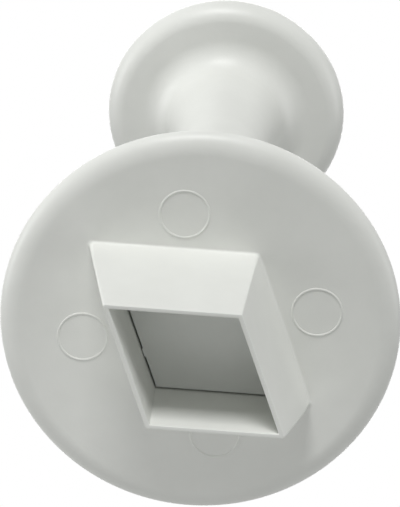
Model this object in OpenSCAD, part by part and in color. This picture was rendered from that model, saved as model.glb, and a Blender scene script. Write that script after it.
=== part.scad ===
// Plunger cutter for cutting and releasing small diamond shapes from rolled paste or dough.
// It stands on its cutting edge at z = 0, with the axis of the plunger along +Z
// and the long diagonal of the diamond along X.

/* [Diamond cutter] */
// Height of the cutter wall, from the cutting edge to the face of the disc
cutter_height = 12.9; // [12.5:0.1:20]
// Side of the diamond at the cutting edge, outside
edge_side = 13.8; // [13:0.1:18]
// Acute angle of the diamond
diamond_angle = 68.3; // [60:0.1:90]
// Width of the flat cutting edge
edge_width = 0.45; // [0.3:0.05:0.7]
// Slope of the outer wall, in degrees
wall_draft = 6.6; // [3:0.1:8]
// Slope of the cavity wall, in degrees
cavity_draft = 0.75; // [0.2:0.05:1.2]
// Rounding of the diamond's outer corners
corner_r = 0.5; // [0.3:0.05:0.9]
// Rounding of the cavity's corners
cavity_corner_r = 0.25; // [0.1:0.05:0.4]
// Depth of the cavity
cavity_depth = 11.5; // [11:0.1:12.4]

/* [Disc and barrel] */
// Diameter of the disc
disc_d = 40; // [38:0.5:50]
// Thickness of the disc
disc_thick = 2.2; // [2.1:0.1:4]
// Rounding of the disc's edge towards the cutter
disc_face_round = 1.9; // [1:0.1:1.9]
// Rounding of the disc's edge towards the knob
disc_back_round = 0.25; // [0.1:0.05:1]
// Outer diameter of the barrel
barrel_d = 14; // [13.8:0.1:16]
// Height of the barrel above the back of the disc
barrel_height = 30.9; // [30:0.1:36]
// Radius of the hollow where the barrel meets the disc
barrel_fillet = 5; // [2:0.5:7]
// Rounding of the barrel's mouth
barrel_lip_r = 0.5; // [0.2:0.1:0.7]
// Diameter of the ejector pin marks
pin_mark_d = 5.2; // [4:0.1:6]
// Distance of the pin marks from the axis
pin_mark_place = 11.8; // [11.5:0.1:14]
// Width of the raised ring round each pin mark
pin_ring_width = 0.2; // [0.15:0.05:0.4]
// Height of the raised ring round each pin mark
pin_ring_height = 0.08; // [0.05:0.01:0.2]

/* [Ejector plate] */
// Thickness of the plate
plate_thick = 2; // [1.5:0.1:3]
// Gap between the plate and the cavity wall
plate_gap = 0.18; // [0.15:0.01:0.3]
// Diameter of the boss on the plate's back
boss_d = 7; // [6:0.1:8]
// Height of the boss on the plate's back
boss_height = 2.5; // [2:0.1:2.8]
// Clearance round the boss in its recess
boss_gap = 0.2; // [0.1:0.05:0.4]
// Skin of the plate under the end of the rod
plate_skin = 0.8; // [0.6:0.1:1.2]
// Length of the gate mark on the plate's side
gate_length = 0.9; // [0.5:0.1:2]
// Height of the gate mark off the plate's side
gate_height = 0.12; // [0.05:0.01:0.13]

/* [Plunger] */
// Diameter of the rod
rod_d = 4; // [3:0.1:4.5]
// Running clearance of the rod in its guide, on the radius
rod_clearance = 0.075; // [0.02:0.005:0.1]
// Clearance of the rod in the pieces that it is pressed into, on the radius
press_clearance = 0.015; // [0.01:0.005:0.03]
// Length of the rod inside the knob
rod_grip = 22; // [12:0.5:28]
// Thickness of the web between the boss recess and the spring's seat
web_thick = 2.5; // [2:0.1:4]
// Travel of the plunger
travel = 9.3; // [6:0.1:9.5]
// Distance from the end of the travel to the solid stop
stop_reserve = 0.3; // [0.1:0.05:1]

/* [Knob] */
// Diameter of the knob's rim
knob_d = 24.8; // [24:0.1:28]
// Height of the whole cutter
overall_height = 76.8; // [76:0.1:90]
// Radius of the knob's round rim
rim_r = 2; // [1.8:0.1:2.2]
// Diameter of the knob's neck
neck_d = 10.6; // [10.4:0.1:11]
// Running clearance of the neck in the barrel, on the radius
neck_clearance = 0.08; // [0.03:0.005:0.1]
// Length of the neck inside the barrel at rest
neck_overlap = 8; // [6:0.5:12]
// Bevel on the end of the neck
neck_bevel = 0.4; // [0.2:0.1:0.6]
// Diameter of the cap
cap_d = 18; // [17:0.1:18.5]
// Thickness of the cap
cap_thick = 1.6; // [1.2:0.1:1.8]
// Clearance round the cap
cap_gap = 0.1; // [0.05:0.01:0.2]
// Wall of the cap's snap ring
cap_ring_wall = 1; // [0.8:0.1:1.4]
// Height of the cap's snap ring
cap_ring_height = 0.9; // [0.6:0.1:1]
// Ledge that the cap rests on
cap_ledge = 1.4; // [1:0.1:1.8]
// Rounding of the cap's edge
cap_round = 0.3; // [0.1:0.05:0.5]

/* [Spring] */
// Diameter of the wire
wire_d = 0.7; // [0.5:0.05:0.8]
// Outer diameter of the spring
spring_od = 8.6; // [8:0.1:8.8]
// Clearance round the spring in its chamber
spring_gap = 0.3; // [0.15:0.05:0.35]
// Clearance at each end of the spring
spring_end_gap = 0.05; // [0.02:0.01:0.1]
// Number of turns
spring_turns = 9; // [6:1:10]
// Gap between the turns that close each end
end_turn_gap = 0.45; // [0.42:0.01:0.6]

/* [Hidden] */

// Overlap that lets a cut run clear of a face
cut_over = 1;
// Thickness of the slices that the tapered diamond is drawn between
slice = 0.01;
// Points in a quarter turn of a rounded outline
arc_steps = 12;
// Smoothness of bores and shafts
round_fn = 96;
// Smoothness of the diamond's corners
corner_fn = 32;

// Diamond
half_angle = diamond_angle / 2;
edge_apothem = edge_side * sin(diamond_angle) / 2;
base_apothem = edge_apothem + cutter_height * tan(wall_draft);
cavity_edge_apothem = edge_apothem - edge_width;
cavity_floor_apothem = cavity_edge_apothem - cavity_depth * tan(cavity_draft);
plate_apothem = cavity_floor_apothem - plate_gap;

// Heights from the cutting edge
face_z = cutter_height;
back_z = face_z + disc_thick;
barrel_top = back_z + barrel_height;
plate_face_z = cavity_depth - plate_thick;
boss_top = cavity_depth + boss_height;
recess_top = boss_top + boss_gap;
seat_z = recess_top + web_thick;
neck_end = barrel_top - neck_overlap;
stop_z = neck_end - travel - stop_reserve;
rod_low = plate_face_z + plate_skin;
rod_high = neck_end + rod_grip;

// Radii
disc_r = disc_d / 2;
barrel_r = barrel_d / 2;
rod_r = rod_d / 2;
neck_r = neck_d / 2;
knob_r = knob_d / 2;
chamber_r = spring_od / 2 + spring_gap;
guide_r = rod_r + rod_clearance;
socket_r = rod_r + press_clearance;
neck_bore_r = neck_r + neck_clearance;

// Knob
rim_mid_z = overall_height - rim_r;
under_z = rim_mid_z - rim_r;
flare_r = knob_r - rim_r - neck_r;
flare_start = under_z - flare_r;
cap_r = cap_d / 2;
cap_low = overall_height - cap_thick;
pocket_r = cap_r + cap_gap - cap_ledge;
pocket_low = cap_low - cap_ring_height - cap_gap;
// Bore of the core that keeps the knob's walls even
core_r = neck_r - 1.9;
core_top = under_z - flare_r * 0.72;
core_low = rod_high - 2;

// Spring
spring_r = (spring_od - wire_d) / 2;
spring_low = seat_z + spring_end_gap + wire_d / 2;
spring_high = neck_end - spring_end_gap - wire_d / 2;
end_pitch = wire_d + end_turn_gap;
mid_pitch = (spring_high - spring_low - 2 * end_pitch) / (spring_turns - 2);
rings_per_turn = 8;
tube_sides = 6;

// Points of an arc, from one angle to another
function arc(centre, r, from, to) = [
    for (i = [0 : arc_steps])
        let (a = from + (to - from) * i / arc_steps)
        [centre[0] + r * cos(a), centre[1] + r * sin(a)]
];

// Corners of a diamond whose sides lie at a given distance from the axis
function diamond_corners(apothem) = [
    [apothem / sin(half_angle), 0],
    [0, apothem / cos(half_angle)],
    [-apothem / sin(half_angle), 0],
    [0, -apothem / cos(half_angle)]
];

// Height of the spring's wire after a number of turns
function spring_height(turn) =
    turn < 1 ? spring_low + turn * end_pitch
    : turn > spring_turns - 1 ? spring_high - (spring_turns - turn) * end_pitch
    : spring_low + end_pitch + (turn - 1) * mid_pitch;

// Centre of the spring's wire at a ring
function wire_centre(ring) =
    let (turn = ring / rings_per_turn)
    [spring_r * cos(360 * turn), spring_r * sin(360 * turn), spring_height(turn)];

// One ring of points round the spring's wire
function wire_ring(ring) =
    let (turn = ring / rings_per_turn)
    [for (side = [0 : tube_sides - 1])
        let (
            a = 360 * side / tube_sides,
            r = spring_r + wire_d / 2 * cos(a)
        )
        [r * cos(360 * turn), r * sin(360 * turn), spring_height(turn) + wire_d / 2 * sin(a)]
    ];

// Thin diamond with round corners, at a height
module diamond_slice(apothem, z, r) {
    for (corner = diamond_corners(apothem - r))
        translate([corner[0], corner[1], z])
            cylinder(h = slice, r = r, $fn = corner_fn);
}

// Diamond block whose walls slope evenly between two heights
module diamond_block(low, high, low_apothem, high_apothem, r) {
    hull() {
        diamond_slice(low_apothem, low, r);
        diamond_slice(high_apothem, high - slice, r);
    }
}

// Upright cylinder between two heights
module bore(r, low, high) {
    translate([0, 0, low])
        cylinder(h = high - low, r = r, $fn = round_fn);
}

// Disc and barrel, turned
module disc_and_barrel() {
    rotate_extrude($fn = round_fn)
        polygon(concat(
            [[0, face_z]],
            arc([disc_r - disc_face_round, face_z + disc_face_round], disc_face_round, -90, 0),
            arc([disc_r - disc_back_round, back_z - disc_back_round], disc_back_round, 0, 90),
            arc([barrel_r + barrel_fillet, back_z + barrel_fillet], barrel_fillet, 270, 180),
            arc([barrel_r - barrel_lip_r, barrel_top - barrel_lip_r], barrel_lip_r, 0, 90),
            [[0, barrel_top]]
        ));
}

// Raised ring that an ejector pin leaves on the disc
module pin_mark() {
    difference() {
        bore(pin_mark_d / 2, face_z - pin_ring_height, face_z);
        bore(pin_mark_d / 2 - pin_ring_width, face_z - cut_over, face_z);
    }
}

// Cutter, disc and barrel in one moulding, with the guides for the plunger
module cutter_body() {
    color("whitesmoke")
        difference() {
            union() {
                disc_and_barrel();
                diamond_block(0, face_z + slice, edge_apothem, base_apothem, corner_r);
                for (turn = [45 : 90 : 315])
                    rotate(turn)
                        translate([pin_mark_place, 0, 0])
                            pin_mark();
            }
            diamond_block(-slice, cavity_depth, cavity_edge_apothem, cavity_floor_apothem, cavity_corner_r);
            bore(boss_d / 2 + boss_gap, cavity_depth - slice, recess_top);
            bore(guide_r, recess_top - cut_over, seat_z + cut_over);
            bore(chamber_r, seat_z, stop_z + cut_over);
            bore(neck_bore_r, stop_z, barrel_top + cut_over);
        }
}

// Mark where the plate was cut from its runner, on the middle of one side
module gate_mark() {
    rotate(180 - (90 - half_angle))
        translate([plate_apothem - slice, -gate_length / 2, plate_face_z])
            cube([gate_height + slice, gate_length, plate_thick / 2]);
}

// Plate that pushes the paste out, with the boss that grips the rod
module ejector_plate() {
    color("gainsboro")
        difference() {
            union() {
                translate([0, 0, plate_face_z])
                    linear_extrude(plate_thick)
                        polygon(diamond_corners(plate_apothem));
                bore(boss_d / 2, cavity_depth - slice, boss_top);
                gate_mark();
            }
            bore(socket_r, rod_low, boss_top + cut_over);
        }
}

// Rod that joins the plate to the knob
module plunger_rod() {
    color("lightgrey")
        bore(rod_r, rod_low, rod_high);
}

// Return spring, one unbroken wire
module return_spring() {
    rings = spring_turns * rings_per_turn;
    points = [for (ring = [0 : rings]) each wire_ring(ring)];
    walls = [
        for (ring = [0 : rings - 1], side = [0 : tube_sides - 1])
            let (
                a = ring * tube_sides + side,
                b = ring * tube_sides + (side + 1) % tube_sides
            )
            each [[a, b, b + tube_sides], [a, b + tube_sides, a + tube_sides]]
    ];
    first_end = [for (side = [1 : tube_sides - 2]) [0, side + 1, side]];
    last = rings * tube_sides;
    last_end = [for (side = [1 : tube_sides - 2]) [last, last + side, last + side + 1]];
    color("silver")
        polyhedron(points = points, faces = concat(walls, first_end, last_end));
}

// Knob with its neck, cored from the top
module plunger_knob() {
    color("whitesmoke")
        difference() {
            rotate_extrude($fn = round_fn)
                polygon(concat(
                    [[0, neck_end], [neck_r - neck_bevel, neck_end], [neck_r, neck_end + neck_bevel]],
                    arc([neck_r + flare_r, flare_start], flare_r, 180, 90),
                    arc([knob_r - rim_r, rim_mid_z], rim_r, -90, 90),
                    [[0, overall_height]]
                ));
            bore(socket_r, neck_end - cut_over, core_low + cut_over);
            rotate_extrude($fn = round_fn)
                polygon([
                    [0, core_low],
                    [core_r, core_low],
                    [core_r, core_top],
                    [pocket_r, pocket_low],
                    [pocket_r, overall_height + cut_over],
                    [0, overall_height + cut_over]
                ]);
            bore(cap_r + cap_gap, cap_low, overall_height + cut_over);
        }
}

// Cap that closes the knob, with a snap ring under it
module knob_cap() {
    ring_r = pocket_r - cap_gap;
    color("whitesmoke")
        difference() {
            union() {
                rotate_extrude($fn = round_fn)
                    polygon(concat(
                        [[0, cap_low], [cap_r, cap_low]],
                        arc([cap_r - cap_round, overall_height - cap_round], cap_round, 0, 90),
                        [[0, overall_height]]
                    ));
                bore(ring_r, cap_low - cap_ring_height, cap_low + slice);
            }
            bore(ring_r - cap_ring_wall, cap_low - cap_ring_height - cut_over, cap_low);
        }
}

// Least gap between neighbouring turns of the spring
turn_gaps = [
    for (ring = [0 : (spring_turns - 1) * rings_per_turn])
        norm(wire_centre(ring + rings_per_turn) - wire_centre(ring)) - wire_d
];
echo(least_spring_gap = min(turn_gaps));

cutter_body();
ejector_plate();
plunger_rod();
return_spring();
plunger_knob();
knob_cap();
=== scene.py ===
import math

import bpy
from mathutils import Matrix, Vector


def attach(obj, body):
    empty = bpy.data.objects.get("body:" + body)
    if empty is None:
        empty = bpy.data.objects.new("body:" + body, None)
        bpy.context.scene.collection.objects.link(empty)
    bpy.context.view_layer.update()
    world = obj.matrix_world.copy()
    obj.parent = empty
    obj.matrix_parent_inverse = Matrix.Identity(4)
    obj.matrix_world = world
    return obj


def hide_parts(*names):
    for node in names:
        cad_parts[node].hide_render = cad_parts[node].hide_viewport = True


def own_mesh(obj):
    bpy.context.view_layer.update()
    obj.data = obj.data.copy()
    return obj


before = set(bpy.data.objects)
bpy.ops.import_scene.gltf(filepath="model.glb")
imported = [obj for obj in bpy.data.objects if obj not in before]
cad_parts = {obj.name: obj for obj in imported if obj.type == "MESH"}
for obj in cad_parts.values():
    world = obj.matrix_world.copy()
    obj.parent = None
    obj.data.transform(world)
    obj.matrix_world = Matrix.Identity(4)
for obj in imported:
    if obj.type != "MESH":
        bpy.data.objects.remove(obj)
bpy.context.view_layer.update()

MM = 0.001

# Diamond cutter, in millimetres from the cutting edge
FACE_Z = 12.9
DIAMOND_ANGLE = 68.3
EDGE_SIDE = 13.8
EDGE_WIDTH = 0.45
WALL_DRAFT = 6.6
CAVITY_DRAFT = 0.75
CAVITY_DEPTH = 11.5
CORNER_R = 0.2
CAVITY_CORNER_R = 0.12
EDGE_SOFTNESS = 0.1
FOOT_FILLET = 0.25
FLOOR_FILLET = 0.15

# Disc and barrel
DISC_R = 20.0
DISC_THICK = 1.7
EDGE_ROUND_WIDTH = 2.2
EDGE_ROUND_HEIGHT = 1.45
DISC_BACK_ROUND = 0.25
BARREL_R = 7.0
BARREL_HEIGHT = 31.4
BARREL_FILLET = 5.0
BARREL_LIP_R = 0.5
PIN_MARK_R = 2.6
PIN_MARK_PLACE = 11.8
PIN_RING_WIDTH = 0.26
PIN_RING_HEIGHT = 0.08

# Guides inside the barrel
RECESS_R = 3.7
RECESS_TOP = 14.2
GUIDE_R = 2.075
SEAT_Z = 16.7
CHAMBER_R = 4.6
STOP_Z = 28.4
NECK_BORE_R = 5.38

# Knob and cap
TOP_Z = 76.8
KNOB_R = 12.4
RIM_R = 2.0
NECK_R = 4.4
FLARE_LEAN = 14.0
FLARE_R = 3.0
UNDERSIDE_R = 8.9
NECK_END = 38.0
NECK_BEVEL = 0.4
SLEEVE_R = 5.3
SLEEVE_TOP = 46.5
SOCKET_R = 2.015
CORE_R = 2.6
CORE_TOP = 69.8
CORE_LOW = 58.0
CAP_R = 9.0
CAP_THICK = 1.6
CAP_GAP = 0.1
CAP_LEDGE = 1.4
CAP_ROUND = 0.3
CAP_RING_WALL = 1.0
CAP_RING_HEIGHT = 0.9

# Return spring and the plunger's travel
WIRE_R = 0.35
SPRING_R = 3.95
SPRING_TURNS = 9
SPRING_END_GAP = 0.05
END_PITCH = 1.15

# Camera: tilt off the cutter's axis, roll, and turn of the diamond, in radians
VIEW_TILT = 0.366
VIEW_ROLL = 0.126
VIEW_TURN = 0.540
VIEW_CENTRE = (-0.025, 7.08)
VIEW_DISTANCE = 1000.0
PIXELS_PER_MM = 10.033
IMAGE_HEIGHT = 507
SENSOR = 36.0

LATHE_STEPS = 192
ARC_STEPS = 10
CORNER_STEPS = 8
SIDE_STEPS = 10
WIRE_SIDES = 12
WIRE_STEPS = 32
SHARP_ANGLE = math.radians(32)


def arc(centre, radius, start, end, steps=ARC_STEPS, height=None):
    """Points of a round or elliptical arc between two angles in degrees."""
    tall = radius if height is None else height
    points = []
    for i in range(steps + 1):
        a = math.radians(start + (end - start) * i / steps)
        points.append((centre[0] + radius * math.cos(a), centre[1] + tall * math.sin(a)))
    return points


def make_object(name, vertices, faces):
    """A mesh object, from points in millimetres."""
    mesh = bpy.data.meshes.new(name)
    mesh.from_pydata([tuple(c * MM for c in v) for v in vertices], [], faces)
    mesh.validate()
    mesh.shade_smooth()
    mesh.set_sharp_from_angle(angle=SHARP_ANGLE)
    obj = bpy.data.objects.new(name, mesh)
    bpy.context.scene.collection.objects.link(obj)
    return obj


def rings_to_mesh(rings, closed):
    """Joins rings of points into faces. A ring of one point is a pole."""
    vertices, starts, faces = [], [], []
    for ring in rings:
        starts.append(len(vertices))
        vertices.extend(ring)
    count = len(rings)
    for i in range(count if closed else count - 1):
        j = (i + 1) % count
        low, high = rings[i], rings[j]
        size = max(len(low), len(high))
        for k in range(size):
            n = (k + 1) % size
            a = starts[i] + (k if len(low) > 1 else 0)
            b = starts[i] + (n if len(low) > 1 else 0)
            c = starts[j] + (n if len(high) > 1 else 0)
            d = starts[j] + (k if len(high) > 1 else 0)
            faces.append([v for i_v, v in enumerate((a, b, c, d)) if v not in (a, b, c, d)[:i_v]])
    return vertices, faces


def lathe(profile, closed, centre=(0.0, 0.0), steps=LATHE_STEPS):
    """Turns a profile of (radius, height) points, drawn counter-clockwise, about the axis."""
    rings = []
    for r, z in profile:
        if r < 1e-6:
            rings.append([(centre[0], centre[1], z)])
            continue
        turn = [2 * math.pi * k / steps for k in range(steps)]
        rings.append([(centre[0] + r * math.cos(a), centre[1] + r * math.sin(a), z) for a in turn])
    return rings_to_mesh(rings, closed)


def merge(parts):
    """Puts several meshes into one list of points and faces."""
    vertices, faces = [], []
    for part_vertices, part_faces in parts:
        shift = len(vertices)
        vertices.extend(part_vertices)
        faces.extend([[v + shift for v in face] for face in part_faces])
    return vertices, faces


def diamond_ring(apothem, z, corner_r):
    """Outline of a diamond with round corners, at a height."""
    half = math.radians(DIAMOND_ANGLE / 2)
    inner = apothem - corner_r
    corners = [
        (inner / math.sin(half), 0), (0, inner / math.cos(half)),
        (-inner / math.sin(half), 0), (0, -inner / math.cos(half)),
    ]
    normal = math.pi / 2 - half
    normals = [-normal, normal, math.pi - normal, math.pi + normal, 2 * math.pi - normal]
    ring = []
    for i, corner in enumerate(corners):
        for k in range(CORNER_STEPS + 1):
            a = normals[i] + (normals[i + 1] - normals[i]) * k / CORNER_STEPS
            ring.append((corner[0] + corner_r * math.cos(a), corner[1] + corner_r * math.sin(a), z))
        end = ring[-1]
        after = corners[(i + 1) % 4]
        a = normals[i + 1]
        start = (after[0] + corner_r * math.cos(a), after[1] + corner_r * math.sin(a))
        for k in range(1, SIDE_STEPS):
            f = k / SIDE_STEPS
            ring.append((end[0] + (start[0] - end[0]) * f, end[1] + (start[1] - end[1]) * f, z))
    return ring


def round_ring(radius, z, like):
    """A circle whose points lie at the same angles as another ring's."""
    return [(radius * math.cos(a), radius * math.sin(a), z)
            for a in (math.atan2(p[1], p[0]) for p in like)]


def cutter_block():
    """The hollow diamond wall that stands on the disc."""
    edge = EDGE_SIDE * math.sin(math.radians(DIAMOND_ANGLE)) / 2
    slope = math.tan(math.radians(WALL_DRAFT))
    cavity_edge = edge - EDGE_WIDTH
    cavity_slope = math.tan(math.radians(CAVITY_DRAFT))
    soft = EDGE_SOFTNESS
    base = edge + FACE_Z * slope
    rings = [
        diamond_ring(base + FOOT_FILLET + a[0], FACE_Z - FOOT_FILLET + a[1], CORNER_R + FOOT_FILLET)
        for a in arc((0, 0), FOOT_FILLET, 90, 180, 4)
    ]
    rings.insert(0, diamond_ring(base + FOOT_FILLET, FACE_Z + 0.05, CORNER_R + FOOT_FILLET))
    for share in (0.75, 0.5, 0.25):
        z = (FACE_Z - FOOT_FILLET) * share
        rings.append(diamond_ring(edge + z * slope, z, CORNER_R))
    for x, z in arc((edge - soft, soft), soft, 0, -90, 4):
        rings.append(diamond_ring(x, z, CORNER_R))
    for x, z in arc((cavity_edge + soft, soft), soft, 270, 180, 4):
        rings.append(diamond_ring(x, z, CAVITY_CORNER_R))
    for share in (0.25, 0.5, 0.75):
        z = CAVITY_DEPTH * share
        rings.append(diamond_ring(cavity_edge - z * cavity_slope, z, CAVITY_CORNER_R))
    floor = cavity_edge - CAVITY_DEPTH * cavity_slope
    for x, z in arc((floor - FLOOR_FILLET, CAVITY_DEPTH - FLOOR_FILLET), FLOOR_FILLET, 0, 90, 4):
        rings.append(diamond_ring(x, z, CAVITY_CORNER_R))
    rings.append(round_ring(RECESS_R, CAVITY_DEPTH, rings[-1]))
    rings.append(round_ring(RECESS_R, FACE_Z + 0.05, rings[0]))
    return rings_to_mesh(rings, closed=True)


def disc_and_barrel():
    """The disc, its rounded edge and the barrel, with the guides for the plunger."""
    back = FACE_Z + DISC_THICK
    top = back + BARREL_HEIGHT
    back_round = DISC_BACK_ROUND
    edge_centre = (DISC_R - EDGE_ROUND_WIDTH, FACE_Z + EDGE_ROUND_HEIGHT)
    profile = [(RECESS_R, FACE_Z)]
    profile += arc(edge_centre, EDGE_ROUND_WIDTH, -90, 0, 20, EDGE_ROUND_HEIGHT)
    profile += arc((DISC_R - back_round, back - back_round), back_round, 0, 90, 6)
    profile += arc((BARREL_R + BARREL_FILLET, back + BARREL_FILLET), BARREL_FILLET, 270, 180, 14)
    profile += arc((BARREL_R - BARREL_LIP_R, top - BARREL_LIP_R), BARREL_LIP_R, 0, 90, 6)
    profile += [(NECK_BORE_R + 0.2, top), (NECK_BORE_R, top - 0.2), (NECK_BORE_R, STOP_Z)]
    profile += [(CHAMBER_R, STOP_Z), (CHAMBER_R, SEAT_Z), (GUIDE_R, SEAT_Z)]
    profile += [(GUIDE_R, RECESS_TOP), (RECESS_R, RECESS_TOP)]
    return lathe(profile, closed=True)


def pin_mark(turn):
    """The thin raised ring that an ejector pin leaves."""
    a = math.radians(turn)
    centre = (PIN_MARK_PLACE * math.cos(a), PIN_MARK_PLACE * math.sin(a))
    half = PIN_RING_WIDTH / 2
    ring = [(PIN_MARK_R - half + half * math.cos(t), FACE_Z + 0.01 - PIN_RING_HEIGHT * math.sin(t))
            for t in (math.pi * k / 6 for k in range(6, -1, -1))]
    return lathe(ring, closed=True, centre=centre, steps=64)


def cutter_body():
    marks = [pin_mark(turn) for turn in range(45, 360, 90)]
    return make_object("cutter_moulding", *merge([disc_and_barrel(), cutter_block()] + marks))


def knob():
    """The flared knob, with its core, its waisted neck and the sleeve that runs in the barrel."""
    rim_mid = TOP_Z - RIM_R
    under = rim_mid - RIM_R
    lean = math.radians(FLARE_LEAN)
    waist_top = UNDERSIDE_R - FLARE_R * math.cos(lean)
    waist_r = (waist_top - NECK_R) / (1 - math.cos(lean))
    waist_z = under - FLARE_R + FLARE_R * math.sin(lean) - waist_r * math.sin(lean)
    cap_low = TOP_Z - CAP_THICK
    pocket = CAP_R + CAP_GAP - CAP_LEDGE
    profile = [(SOCKET_R, NECK_END), (SLEEVE_R - NECK_BEVEL, NECK_END)]
    profile += [(SLEEVE_R, NECK_END + NECK_BEVEL), (SLEEVE_R, SLEEVE_TOP)]
    profile += arc((NECK_R + waist_r, waist_z), waist_r, 180, 180 - FLARE_LEAN, 12)
    profile += arc((UNDERSIDE_R, under - FLARE_R), FLARE_R, 180 - FLARE_LEAN, 90, 16)[1:]
    profile += arc((KNOB_R - RIM_R, rim_mid), RIM_R, -90, 90, 24)[1:]
    profile += [(CAP_R + CAP_GAP + 0.15, TOP_Z), (CAP_R + CAP_GAP, TOP_Z - 0.15)]
    profile += [(CAP_R + CAP_GAP, cap_low), (pocket, cap_low)]
    profile += [(pocket, cap_low - CAP_RING_HEIGHT - CAP_GAP), (CORE_R, CORE_TOP)]
    profile += [(CORE_R, CORE_LOW), (SOCKET_R, CORE_LOW)]
    return make_object("knob_moulding", *lathe(profile, closed=True))


def cap():
    """The plain cap with its snap ring."""
    low = TOP_Z - CAP_THICK
    ring = CAP_R + CAP_GAP - CAP_LEDGE - CAP_GAP
    ring_low = low - CAP_RING_HEIGHT
    profile = [(0, low), (ring - CAP_RING_WALL, low), (ring - CAP_RING_WALL, ring_low)]
    profile += [(ring - 0.1, ring_low), (ring, ring_low + 0.1), (ring, low), (CAP_R, low)]
    profile += arc((CAP_R - CAP_ROUND, TOP_Z - CAP_ROUND), CAP_ROUND, 0, 90, 6)
    profile += [(CAP_R * 0.6, TOP_Z), (0, TOP_Z)]
    return make_object("cap_moulding", *lathe(profile, closed=False))


def spring():
    """The return spring at rest, one wire with a closed turn at each end."""
    low = SEAT_Z + SPRING_END_GAP + WIRE_R
    high = NECK_END - SPRING_END_GAP - WIRE_R
    pitch = (high - low - 2 * END_PITCH) / (SPRING_TURNS - 2)
    rings = []
    for i in range(SPRING_TURNS * WIRE_STEPS + 1):
        turns = i / WIRE_STEPS
        rise = END_PITCH * min(turns, 1) + END_PITCH * max(turns - SPRING_TURNS + 1, 0)
        rise += pitch * min(max(turns - 1, 0), SPRING_TURNS - 2)
        across, along = math.cos(2 * math.pi * turns), math.sin(2 * math.pi * turns)
        ring = []
        for k in range(WIRE_SIDES):
            a = 2 * math.pi * k / WIRE_SIDES
            r = SPRING_R + WIRE_R * math.sin(a)
            ring.append((r * across, r * along, low + rise + WIRE_R * math.cos(a)))
        rings.append(ring)
    rings.insert(0, [(SPRING_R, 0, low)])
    rings.append([(SPRING_R, 0, high)])
    return make_object("spring_coil", *rings_to_mesh(rings, closed=False))


def node(tree, kind, **inputs):
    """Adds a shader node and sets its inputs."""
    made = tree.nodes.new(kind)
    for key, value in inputs.items():
        made.inputs[key.replace("_", " ")].default_value = value
    return made


def grain_colour(tree, place, scale, low, high):
    """Slow variation between two shades of one colour."""
    noise = node(tree, "ShaderNodeTexNoise", Scale=scale, Detail=4.0, Roughness=0.55)
    ramp = tree.nodes.new("ShaderNodeValToRGB")
    ramp.color_ramp.elements[0].position = 0.35
    ramp.color_ramp.elements[0].color = (*low, 1)
    ramp.color_ramp.elements[1].position = 0.65
    ramp.color_ramp.elements[1].color = (*high, 1)
    tree.links.new(place, noise.inputs["Vector"])
    tree.links.new(noise.outputs["Fac"], ramp.inputs["Fac"])
    return ramp.outputs["Color"]


def grain_bump(tree, place, layers):
    """Stacked noise bumps, each with its scale and its depth in metres."""
    normal = None
    for scale, depth in layers:
        noise = node(tree, "ShaderNodeTexNoise", Scale=scale, Detail=3.0)
        bump = node(tree, "ShaderNodeBump", Strength=1.0, Distance=depth)
        tree.links.new(place, noise.inputs["Vector"])
        tree.links.new(noise.outputs["Fac"], bump.inputs["Height"])
        if normal is not None:
            tree.links.new(normal, bump.inputs["Normal"])
        normal = bump.outputs["Normal"]
    return normal


def rough_range(tree, place, scale, low, high):
    """Roughness that wanders between two values."""
    noise = node(tree, "ShaderNodeTexNoise", Scale=scale, Detail=2.0)
    span = node(tree, "ShaderNodeMapRange")
    span.inputs["To Min"].default_value = low
    span.inputs["To Max"].default_value = high
    tree.links.new(place, noise.inputs["Vector"])
    tree.links.new(noise.outputs["Fac"], span.inputs["Value"])
    return span.outputs["Result"]


def surface(name, low, high, rough, bumps, metallic=0.0, stretch=(1, 1, 1)):
    """A moulded or drawn surface with grain, bump and varied roughness."""
    material = bpy.data.materials.new(name)
    material.use_nodes = True
    tree = material.node_tree
    shader = tree.nodes["Principled BSDF"]
    shader.inputs["Metallic"].default_value = metallic
    shader.inputs["IOR"].default_value = 1.49
    coordinates = tree.nodes.new("ShaderNodeTexCoord")
    mapping = node(tree, "ShaderNodeMapping", Scale=stretch)
    tree.links.new(coordinates.outputs["Object"], mapping.inputs["Vector"])
    place = mapping.outputs["Vector"]
    tree.links.new(grain_colour(tree, place, 160, low, high), shader.inputs["Base Color"])
    tree.links.new(rough_range(tree, place, 420, *rough), shader.inputs["Roughness"])
    tree.links.new(grain_bump(tree, place, bumps), shader.inputs["Normal"])
    return material


MOULD_GRAIN = ((260, 0.00004), (3200, 0.000006))


def white_moulding():
    return surface("white_moulding", (0.81, 0.82, 0.785), (0.84, 0.85, 0.815), (0.36, 0.48), MOULD_GRAIN)


# The white plastic made darker: painted shade for the plate that sits deep in the cavity.
def plate_moulding():
    return surface("plate_moulding", (0.74, 0.755, 0.73), (0.77, 0.785, 0.76), (0.4, 0.52), MOULD_GRAIN)


def rod_plastic():
    return surface("rod_plastic", (0.76, 0.765, 0.74), (0.8, 0.8, 0.78), (0.3, 0.4),
                   ((900, 0.000006),), stretch=(1, 1, 0.05))


def spring_steel():
    return surface("spring_steel", (0.55, 0.55, 0.56), (0.64, 0.64, 0.65), (0.2, 0.34),
                   ((2600, 0.000004),), metallic=1.0)


def dress(obj, material):
    """Gives an object one material in all its slots."""
    if not obj.material_slots:
        obj.data.materials.append(material)
    for place in obj.material_slots:
        place.material = material


def camera_axes():
    """Camera's right, up and back directions and its place, in the cutter's frame."""
    tilt = Matrix(((1, 0, 0), (0, math.cos(VIEW_TILT), -math.sin(VIEW_TILT)),
                   (0, math.sin(VIEW_TILT), math.cos(VIEW_TILT))))
    view = Matrix.Rotation(VIEW_ROLL, 3, "Z") @ tilt
    turn = Matrix.Rotation(-VIEW_TURN, 3, "Z")
    shift = Vector((*VIEW_CENTRE, VIEW_DISTANCE))
    place = (turn @ (view.transposed() @ -shift) + Vector((0, 0, FACE_Z))) * MM
    right, down, ahead = (turn @ view.row[i] for i in range(3))
    return right, -down, -ahead, place


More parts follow.
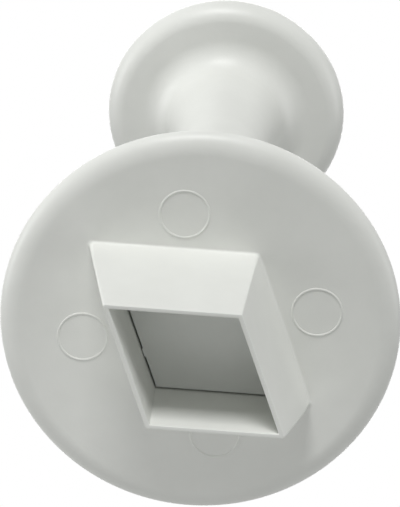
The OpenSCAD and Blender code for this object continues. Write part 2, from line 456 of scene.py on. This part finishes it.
def add_camera():
    right, up, back, place = camera_axes()
    data = bpy.data.cameras.new("photo_camera")
    data.sensor_width = SENSOR
    data.sensor_height = SENSOR
    data.sensor_fit = "AUTO"
    data.lens = PIXELS_PER_MM * VIEW_DISTANCE * SENSOR / IMAGE_HEIGHT
    data.clip_start = 0.01
    data.clip_end = 20
    camera = bpy.data.objects.new("photo_camera", data)
    axes = Matrix((right, up, back)).transposed()
    camera.matrix_world = Matrix.Translation(place) @ axes.to_4x4()
    bpy.context.scene.collection.objects.link(camera)
    bpy.context.scene.camera = camera


def add_lamp(name, direction, distance, size, power):
    """A square soft lamp that looks at the middle of the cutter."""
    target = Vector((0, 0, 0.03))
    data = bpy.data.lights.new(name, "AREA")
    data.shape = "SQUARE"
    data.size = size
    data.energy = power
    lamp = bpy.data.objects.new(name, data)
    lamp.location = target + direction.normalized() * distance
    lamp.rotation_euler = direction.to_track_quat("Z", "Y").to_euler()
    bpy.context.scene.collection.objects.link(lamp)


def add_lights():
    right, up, back, _ = camera_axes()
    add_lamp("key_lamp", up + back * 0.75 - right * 0.1, 1.2, 0.36, 8.8)
    add_lamp("left_lamp", back * 0.05 - right + up * 0.1, 1.2, 0.6, 5.0)
    add_lamp("right_lamp", back * 0.1 + right - up * 0.1, 1.2, 0.6, 3.0)
    add_lamp("low_lamp", back * 0.8 - up - right * 0.2, 0.09, 0.05, 0.008)
    add_lamp("top_lamp", Vector((0.1, 0.2, 1.0)), 0.7, 0.5, 2.5)


def white_to_camera(tree, inside, outside):
    """Mixes so that camera, glossy and transmission rays see the second shader."""
    rays = tree.nodes.new("ShaderNodeLightPath")
    value = rays.outputs["Is Camera Ray"]
    for output in ("Is Glossy Ray", "Is Transmission Ray"):
        most = tree.nodes.new("ShaderNodeMath")
        most.operation = "MAXIMUM"
        tree.links.new(value, most.inputs[0])
        tree.links.new(rays.outputs[output], most.inputs[1])
        value = most.outputs[0]
    mix = tree.nodes.new("ShaderNodeMixShader")
    tree.links.new(value, mix.inputs[0])
    tree.links.new(inside.outputs[0], mix.inputs[1])
    tree.links.new(outside.outputs[0], mix.inputs[2])
    return mix


def add_world():
    world = bpy.data.worlds.new("studio")
    bpy.context.scene.world = world
    world.use_nodes = True
    tree = world.node_tree
    tree.nodes.clear()
    fill = node(tree, "ShaderNodeBackground", Color=(0.985, 1.0, 0.985, 1), Strength=0.25)
    seen = node(tree, "ShaderNodeBackground", Color=(1, 1, 1, 1), Strength=1.0)
    mix = white_to_camera(tree, fill, seen)
    output = tree.nodes.new("ShaderNodeOutputWorld")
    tree.links.new(mix.outputs[0], output.inputs["Surface"])


def add_floor():
    """A pale floor that shows from above only, since the photograph looks up at the cutter."""
    half = 1.5
    level = -0.0002
    mesh = bpy.data.meshes.new("floor")
    corners = [(-half, -half, level), (half, -half, level), (half, half, level), (-half, half, level)]
    mesh.from_pydata(corners, [], [(0, 1, 2, 3)])
    floor = bpy.data.objects.new("floor", mesh)
    bpy.context.scene.collection.objects.link(floor)
    material = bpy.data.materials.new("floor")
    material.use_nodes = True
    tree = material.node_tree
    shader = tree.nodes["Principled BSDF"]
    shader.inputs["Base Color"].default_value = (0.86, 0.86, 0.85, 1)
    shader.inputs["Roughness"].default_value = 0.8
    clear = tree.nodes.new("ShaderNodeBsdfTransparent")
    side = tree.nodes.new("ShaderNodeNewGeometry")
    mix = tree.nodes.new("ShaderNodeMixShader")
    tree.links.new(side.outputs["Backfacing"], mix.inputs[0])
    tree.links.new(shader.outputs[0], mix.inputs[1])
    tree.links.new(clear.outputs[0], mix.inputs[2])
    tree.links.new(mix.outputs[0], tree.nodes["Material Output"].inputs["Surface"])
    mesh.materials.append(material)
    floor.visible_shadow = False
    floor.visible_diffuse = False
    floor.visible_glossy = False
    floor.visible_transmission = False


def add_pieces():
    white = white_moulding()
    made = (
        (cutter_body(), "cutter", "cutter_body"),
        (knob(), "plunger", "plunger_knob"),
        (cap(), "plunger", "knob_cap"),
    )
    for piece, body, replaced in made:
        dress(piece, white)
        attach(piece, body)
        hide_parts(replaced)
    dress(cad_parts["ejector_plate"], plate_moulding())
    dress(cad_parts["plunger_rod"], rod_plastic())
    coil = spring()
    dress(coil, spring_steel())
    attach(coil, "cutter")
    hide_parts("return_spring")
    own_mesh(coil)


add_pieces()
add_camera()
add_world()
add_lights()
add_floor()
bpy.context.scene.view_settings.view_transform = "Standard"
